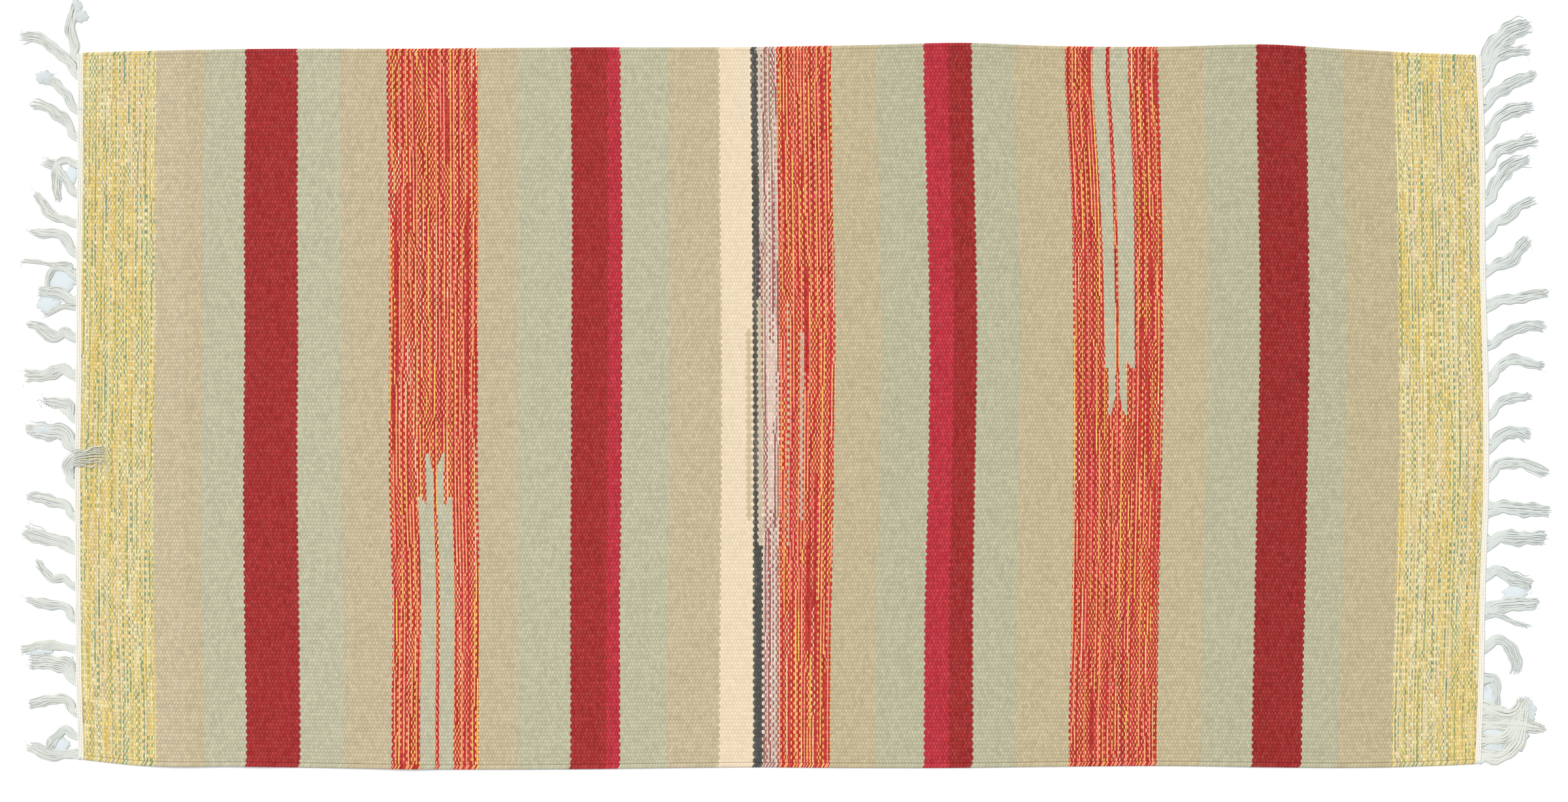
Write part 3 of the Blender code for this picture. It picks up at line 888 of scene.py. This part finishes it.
def tongueMask(tongue, along, across):
    # where one forked tongue lies, from the place along the rug and the warp's across it
    shape = tongueShape
    depth = (across * -1 + tongue["tip"]) if tongue["turn"] == 1 else (across - tongue["tip"])
    drift = depth.scaled(0, shape["length"], 0, tongue["drift"])
    offset = (along - tongue["middle"]) * tongue["turn"] - drift
    sideways = offset.size()
    inner = depth.scaled(0, shape["notch"], shape["outer"] - shape["prong"], shape["inner"])
    outer = depth.scaled(0, shape["notch"], shape["outer"] + shape["flare"], shape["outer"])
    prong = (sideways > inner) * (sideways < outer)
    skewed = (offset - tongue["skew"]).size()
    block = depth.scaled(*shape["late"], tongue["block"], shape["block"])
    barbWide, barbNarrow = tongue["block"] - shape["barbTip"], shape["outer"] - shape["barbRoot"]
    barbInner = depth.scaled(shape["barbStart"], shape["barbEnd"], barbWide, barbNarrow)
    barb = (skewed > barbInner) * (skewed < block) * (depth > shape["barbStart"])
    return prong.highest(barb) * (depth > 0)


weaving = {
    "pitch": 3.584,  # mm from one warp to the next
    "nearEdge": -353,  # mm to the outer side of the first warp
    "grain": 3.58,  # mm a warp, as the clouds count them
    "drift": 0.8,  # mm that wefts wander over a few centimetres
    "shake": 1.1,  # and from one warp to the next
    "lean": 1.3,  # share of a stitch by which it slants
    "bulge": 0.13,  # share of a warp by which a stitch swells sideways
    "jitter": 0.4,  # share of a warp by which the warps wander
    "scallop": (1.8, 1.1),  # mm that a stripe's edge bulges, and mm that it is set back
    "split": (0.52, 0.04),  # where a mottled pick's two strands meet, and how far that shifts
    # the roundness above which a fancy strand shows, how much less in lines, how much more in one stripe
    "hidden": (0.68, 0.3, 0.13),
    "stitchShade": (0.20, 0.50),  # painted light and shade over a stitch, its top lighter and its edges darker, in plain and in mottled stripes
    "strands": (0.08, 0.10),  # random tone from one strand to the next
    "fuzz": 0.24,
    "streaks": 0.07,
    "rows": 0.13,
    "stitches": 0.15,
    "ribShade": 0.12,  # painted shade in the seams between warps and painted light on their ridges, only in plain stripes
    "shade": 0.168,  # how much darker the gaps make the mottled stripes
    "level": 0.972,
    "lastMottled": (288, 385),  # mm along the rug
    "cream": (-59.6, -27.0),
    "specks": 0.9985,  # a stitch whose chance is above this has a dark speck
    "lint": 0.0022,  # and one whose chance is below this has a bit of lint
    # the colour of lint, and of the painted highlight on the stitch tops
    "lintAndHighlightColor": (1.0, 0.93, 0.88, 1.0),
}


def bowl(value):
    # 0 in the middle of a warp, a stitch or a strand, and 1 at its edges
    return ((value - 0.5) * 2).calc("POWER", 2.0)


class Stitches:
    # where each stitch lies, as signals over the cloth: neighbouring stitches are half a step
    # apart, and each bulges between its neighbours
    def __init__(self, tree):
        stitch = cloth["stitch"]
        rawAlong, rawWarp = attributeParts(tree, "weave")[:2]
        self.ground = point(tree, rawAlong, rawWarp * weaving["grain"])
        otherGround = point(tree, rawAlong, rawWarp * weaving["grain"], 40.0)
        along = rawAlong + (clouds(tree, self.ground, 0.035, 3.0) - 0.5) * weaving["drift"]
        along = along + (clouds(tree, self.ground, 0.3, 2.0) - 0.5) * weaving["shake"]
        self.along = along
        bulge = (along * (6.2832 / stitch)).calc("COSINE") * (rawWarp * 3.1416).calc("COSINE")
        jitter = (clouds(tree, otherGround, 0.25, 2.0) - 0.5) * weaving["jitter"]
        self.warpPlace = rawWarp - bulge * weaving["bulge"] + jitter
        self.warp = self.warpPlace.floor()
        self.overWarp = self.warpPlace.fract()
        odd = self.warp.calc("MODULO", 2.0).size()
        lean = (clouds(tree, self.ground, 0.03, 2.0) - 0.5) * weaving["lean"]
        row = along / stitch + odd * 0.5 + (self.overWarp - 0.5) * lean
        self.overPick = row.fract()
        self.pick = row.floor() * 2 - odd + 1
        self.center = self.pick * (stitch / 2)
        self.across = (self.warp + 0.5) * weaving["pitch"] + weaving["nearEdge"]
        self.ribShape = bowl(self.overWarp)
        turnPlace = (rawWarp + jitter - 0.5) * 1.5708
        bulging, setBack = weaving["scallop"]
        self.leftward = along + turnPlace.calc("COSINE").size() * bulging - setBack
        self.rightward = along - turnPlace.calc("SINE").size() * bulging + setBack

    def edge(self, before, after):
        # where two stripes meet: one is laid over the paler of the two in rounded scallops
        before, after = rank.get(before, 0), rank.get(after, 0)
        if before == after:
            return self.center
        return self.leftward if after > before else self.rightward


def mottledYarns(tree, stitches):
    # a pick's fancy strand changes colour along its way, and it lies beside the next pick's to
    # make a line, or apart from it to make dots
    pick, warp, overPick = stitches.pick, stitches.warp, stitches.overPick
    pair = (pick * 0.5).floor()

    def stretch(label, low, high):
        length = scatter(tree, pair, label) * (high - low) + low
        return (warp / length + scatter(tree, pair, label + 0.5) * 17).floor()

    firstSide = scatter(tree, pair, stretch(3.0, 14, 60), 9.0) > 0.5
    inLine = scatter(tree, pair, stretch(4.0, 10, 50), 10.0) > 0.5
    turned = (firstSide - (pick.calc("MODULO", 2.0).size() * inLine)).size()
    split = turned * -weaving["split"][1] + weaving["split"][0]
    half = overPick > split
    overStrand = (overPick - split * half) / (split + half * (split * -2 + 1))
    bead = (stitches.ribShape * -0.34 - bowl(overStrand) * 0.94 + 1.0).highest(0.0).calc("SQRT")
    hidden, lineShare, lastShare = weaving["hidden"]
    rim = inLine * -lineShare + stitches.center.between(*weaving["lastMottled"]) * lastShare + hidden
    isFancy = (half - turned).size() * (bead > rim)

    plainChance = scatter(tree, pair, stretch(5.0, 12, 50), 7.0)
    fancyChance = scatter(tree, pair, stretch(6.0, 9, 56), 8.0)
    crimsonPatch = clouds(tree, stitches.ground, 0.06, 2.0) > 0.60
    shortLength = scatter(tree, pick, 13.0) * 26 + 4
    shortChance = scatter(tree, pick, (warp / shortLength + scatter(tree, pick, 13.5) * 17).floor(), 14.0)
    patches = (clouds(tree, stitches.ground, 0.06, 2.0) - 0.5) * 0.9
    shortChance = shortChance + patches
    colors = {}
    for name, plain, fancy in (("mottle", plainReds, fancyReds), ("straw", plainStraws, fancyStraws),
                               ("rose", plainRoses, fancyRoses), ("charcoal", plainCoals, fancyCoals)):
        base = palette(tree, plainChance, dyed(plain))
        if name == "mottle":
            base = blend(tree, crimsonPatch, base, dye(*yarns["patchRed"], light))
        number = shortChance if name in ("straw", "rose") else fancyChance
        colors[name] = blend(tree, isFancy, base, palette(tree, number, dyed(fancy)))
    return colors, half, bead


def stripeColors(tree, stitches, mottledColors):
    # the plain stripes, and laid over them the mottled ones, the tongues and the short runs;
    # with the colour goes a mask of what stays mottled
    color = dye(*yarns[stripes[0][0]], light)
    for (before, start), (name, _) in zip(stripes, stripes[1:]):
        color = blend(tree, stitches.edge(before, name) > start, color, dye(*yarns[name], light))
    mottled = None
    bounds = (("", -800),) + stripes + (("", 0),)
    for name, colors in mottledColors.items():
        mask = None
        for (before, start), (yarnName, end), (after, _) in zip(bounds, bounds[1:], bounds[2:]):
            if yarnName == name:
                part = (stitches.edge(before, name) > start) * (stitches.edge(name, after) < end)
                mask = part if mask is None else mask + part
        color = blend(tree, mask, color, colors)
        mottled = mask if mottled is None else mottled + mask
    overlays = [(tongueMask(tongue, stitches.along * 0.7 + stitches.center * 0.3, stitches.across),
                 yarns["paleSage"]) for tongue in tongues]
    overlays += [(stitches.center.between(*run["along"]) * stitches.across.between(*run["across"]),
                  run["yarn"]) for run in runs]
    for mask, yarn in overlays:
        color = blend(tree, mask, color, dye(*yarn, light))
        mottled = mottled * (mask * -1 + 1)
    return color, mottled


def weaveMaterial():
    material, tree, shader = newMaterial("kilimWeave", 0.12, 0.05)
    stitches = Stitches(tree)
    mottledColors, half, bead = mottledYarns(tree, stitches)
    color, mottled = stripeColors(tree, stitches, mottledColors)
    pick, warp, ribShape = stitches.pick, stitches.warp, stitches.ribShape

    # the stitch heights: one oval for each stitch, and in mottled stripes its two strands side by side; they
    # shape the bump and also paint shade at the edges and light on the tops
    oval = (ribShape * -0.6 - bowl(stitches.overPick) * 0.95 + 1.0).highest(0.0)
    height = oval + mottled * (bead * 0.85 + oval * 0.15 - oval)

    # patchy dye and spinning, painted shade in the seams between warps, and painted light and shade over
    # each stitch, least in the cream stripe
    fuzz = clouds(tree, point(tree, stitches.along, stitches.warpPlace * 1.2), 2.6, 3.0)
    streak = clouds(tree, point(tree, pick * 0.9, stitches.warpPlace * 0.045), 1.0, 2.0)
    rowTone = clouds(tree, point(tree, stitches.along * 0.04, warp * 0.9), 1.0, 1.0)
    strandTone = scatter(tree, pick * 2 + half, warp, 2.0)
    stitchTone = scatter(tree, pick, warp, 12.0)
    smooth = stitches.center.between(*weaving["cream"])
    unevenAndRibShade = (fuzz - 0.5) * weaving["fuzz"] + (streak - 0.5) * weaving["streaks"]
    plainStrands, mottledStrands = weaving["strands"]
    unevenAndRibShade = unevenAndRibShade + (rowTone - 0.5) * weaving["rows"]
    unevenAndRibShade = unevenAndRibShade + (strandTone - 0.5) * (mottled * mottledStrands + plainStrands)
    unevenAndRibShade = unevenAndRibShade + (stitchTone - 0.5) * weaving["stitches"]
    # painted shade in the seams between warps, painted light on their ridges
    unevenAndRibShade = unevenAndRibShade + (ribShape * -1 + 0.33) * (mottled * -weaving["ribShade"] + weaving["ribShade"])
    plainStitchShade, mottledStitchShade = weaving["stitchShade"]
    # painted light on each stitch's top and painted shade at its edges, and in mottled stripes painted shade
    # in the gaps between strands
    tone = (height - 0.5) * (mottled * mottledStitchShade + plainStitchShade) + unevenAndRibShade - mottled * weaving["shade"]
    parts = tree.nodes.new("ShaderNodeSeparateColor")
    tree.links.new(color, parts.inputs[0])
    deep = Signal(tree, parts.outputs[1]) < 0.15  # dark reds show their painted light and shade, and their patchy dye, more
    tone = tone * (smooth * -0.5 + 1) * (deep * 0.4 + 1) + weaving["level"]

    # a few dark specks, bits of lint, and a pale film on the stitch tops that is partly loose fibres and
    # partly painted highlight
    middle = ((stitches.overPick - 0.4) * 2).size()
    spot = ((stitches.overWarp - 0.5) * 2).size().highest(middle) < 0.2
    chance = scatter(tree, pick, warp, 11.0)
    tone = tone * (spot * (chance > weaving["specks"]) * -0.5 + 1)
    color = blend(tree, 1.0, color, point(tree, tone, tone, tone), "MULTIPLY")
    lint = spot * (chance < weaving["lint"]) * 0.08
    # painted highlight on the stitch tops, mixed with the pale of loose fibres
    veilAndHighlight = (height * (strandTone + fuzz * 1.6 - 0.8)).highest(0.0) * 0.034
    color = blend(tree, veilAndHighlight + lint, color, weaving["lintAndHighlightColor"])
    tree.links.new(color, shader.inputs["Base Color"])
    connect(tree, shader.inputs["Roughness"], fuzz * 0.2 + 0.78)
    bumped(tree, shader, height + fuzz * 0.35, 0.7, 0.35 * mm)
    return material


# Colours of the pads: a dull one for the tangled wool at tips, a pale bluish one that paints the shade in
# the hollows between tassels, their patches, and their rims
padDyes = {
    "dull": (193, 200, 202),
    "pale": (206, 215, 221),
    "patch": (211, 214, 208),
    "rim": (200, 208, 206),
}


def cottonMaterial(name, outer, inner, twist, contrast):
    # loosely spun cotton: fine slanted plies along each strand, and one strand lighter than the next
    material, tree, shader = newMaterial(name, 0.1, 0.35)
    length, cosTurn, sinTurn = attributeParts(tree, "fiber")
    tint = tree.nodes.new("ShaderNodeAttribute")
    tint.attribute_name = "tint"
    tint = Signal(tree, tint.outputs["Fac"])
    angle = length * (6.283 / twist)
    ply = angle.calc("SINE") * cosTurn + angle.calc("COSINE") * sinTurn
    fiber = clouds(tree, point(tree, length * 0.35, cosTurn * 1.2 + tint * 40, sinTurn * 1.2), 3.0, 3.0)
    slow = clouds(tree, point(tree, length * 0.07, tint * 31), 1.0, 2.0)
    share = (tint * 0.8 + slow * 0.6 - 0.2).highest(0.0).lowest(1.0)
    color = blend(tree, share, dye(*outer), dye(*inner))
    # a tint of 1.2 gives the dull wool of a tip, 1.5 the pale bluish painted shade of a hollow
    padAndHollowShadeColor = blend(tree, tint.scaled(1.2, 1.5, 0.0, 1.0), dye(*padDyes["dull"]), dye(*padDyes["pale"]))
    matted = clouds(tree, point(tree, length * 0.3, cosTurn * 0.5, 7.0), 1.0, 4.0)
    padAndHollowShadeColor = blend(tree, (matted - 0.42) * 3.2, padAndHollowShadeColor, dye(*padDyes["patch"]))
    padAndHollowShadeColor = blend(tree, sinTurn.scaled(0.35, 0.85, 0.75, 0.0), padAndHollowShadeColor, dye(*padDyes["rim"]))
    color = blend(tree, tint > 1.01, color, padAndHollowShadeColor)  # a tint above 1 is a pad
    ply = ply * (tint < 1.01)
    tone = ply * contrast * 0.3 + (fiber - 0.5) * contrast + 0.98
    color = blend(tree, 1.0, color, point(tree, tone, tone, tone), "MULTIPLY")
    tree.links.new(color, shader.inputs["Base Color"])
    connect(tree, shader.inputs["Roughness"], fiber * 0.2 + 0.78)
    bumped(tree, shader, ply * 0.3 + fiber, 0.5, 0.2 * mm)
    return material


def floorMaterial():
    material, tree, shader = newMaterial("paleFloor", 0.0, 0.0)
    where = tree.nodes.new("ShaderNodeTexCoord").outputs["Object"]
    haze = clouds(tree, where, 1.5, 2.0)
    color = blend(tree, haze, dye(243, 244, 245), dye(246, 246, 246))
    tree.links.new(color, shader.inputs["Base Color"])
    shader.inputs["Roughness"].default_value = 0.95
    return material


weave = weaveMaterial()
headingCotton = cottonMaterial("headingCotton", (226, 223, 217), (232, 225, 202), 2.4, 0.04)
fringeCotton = cottonMaterial("fringeCotton", (203, 208, 204), (216, 216, 205), 3.0, 0.12)
print("materials ready")

wovenCloth = makeCloth()
print("woven cloth:", len(wovenCloth.data.polygons), "faces")
selvedges = makeSelvedges()
print("selvedges:", len(selvedges.data.polygons), "faces")
for piece in (wovenCloth, selvedges):
    piece.data.materials.append(weave)
    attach(piece, "root")
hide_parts("woven_field")

borders = []
for side, tassels in (("left", leftTassels), ("right", rightTassels)):
    cords = makeHeading(side)
    cords.data.materials.append(headingCotton)
    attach(cords, "root")
    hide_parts("heading_" + side)
    comb = makeFringe(side, tassels)
    if side == "left":
        comb = addLooseThread(comb)
    comb.data.materials.append(fringeCotton)
    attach(comb, "root")
    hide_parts("fringe_" + side)
    borders += [cords, comb]
    print(side, "end:", len(cords.data.polygons), "faces of cord and", len(comb.data.polygons), "of fringe")

# The floor, the light and the camera
studio = {
    "floorSize": 14,
    "sky": 0.70,
    "keyStrength": 2.43,
    "skyColor": (0.93, 0.965, 1.0, 1.0),
    "keySoftness": 0.7,
    "keyColor": (1.0, 0.985, 0.96),
    "keyTurn": (-0.42, -0.38, 0.0),
    "viewWidth": 1.5624,
    "lens": 100,
    "sensor": 36,
    "lookAt": (0.0036, 0.0068),
}
bpy.ops.mesh.primitive_plane_add(size=studio["floorSize"], location=(0, 0, -0.2 * mm))
floor = bpy.context.object
floor.name = "paleFloor"
floor.data.materials.append(floorMaterial())

world = bpy.data.worlds.new("studio")
world.use_nodes = True
world.node_tree.nodes["Background"].inputs["Color"].default_value = studio["skyColor"]
world.node_tree.nodes["Background"].inputs["Strength"].default_value = studio["sky"]
bpy.context.scene.world = world

key = bpy.data.lights.new("key", "SUN")
key.energy = studio["keyStrength"]
key.angle = studio["keySoftness"]
key.color = studio["keyColor"]
lamp = bpy.data.objects.new("key", key)
lamp.rotation_euler = studio["keyTurn"]
bpy.context.scene.collection.objects.link(lamp)

view = bpy.data.cameras.new("above")
view.lens = studio["lens"]
view.sensor_width = studio["sensor"]
view.clip_end = 50
camera = bpy.data.objects.new("above", view)
camera.location = (*studio["lookAt"], studio["viewWidth"] * studio["lens"] / studio["sensor"])
bpy.context.scene.collection.objects.link(camera)
bpy.context.scene.camera = camera
bpy.context.scene.view_settings.view_transform = "Standard"
print("studio ready")
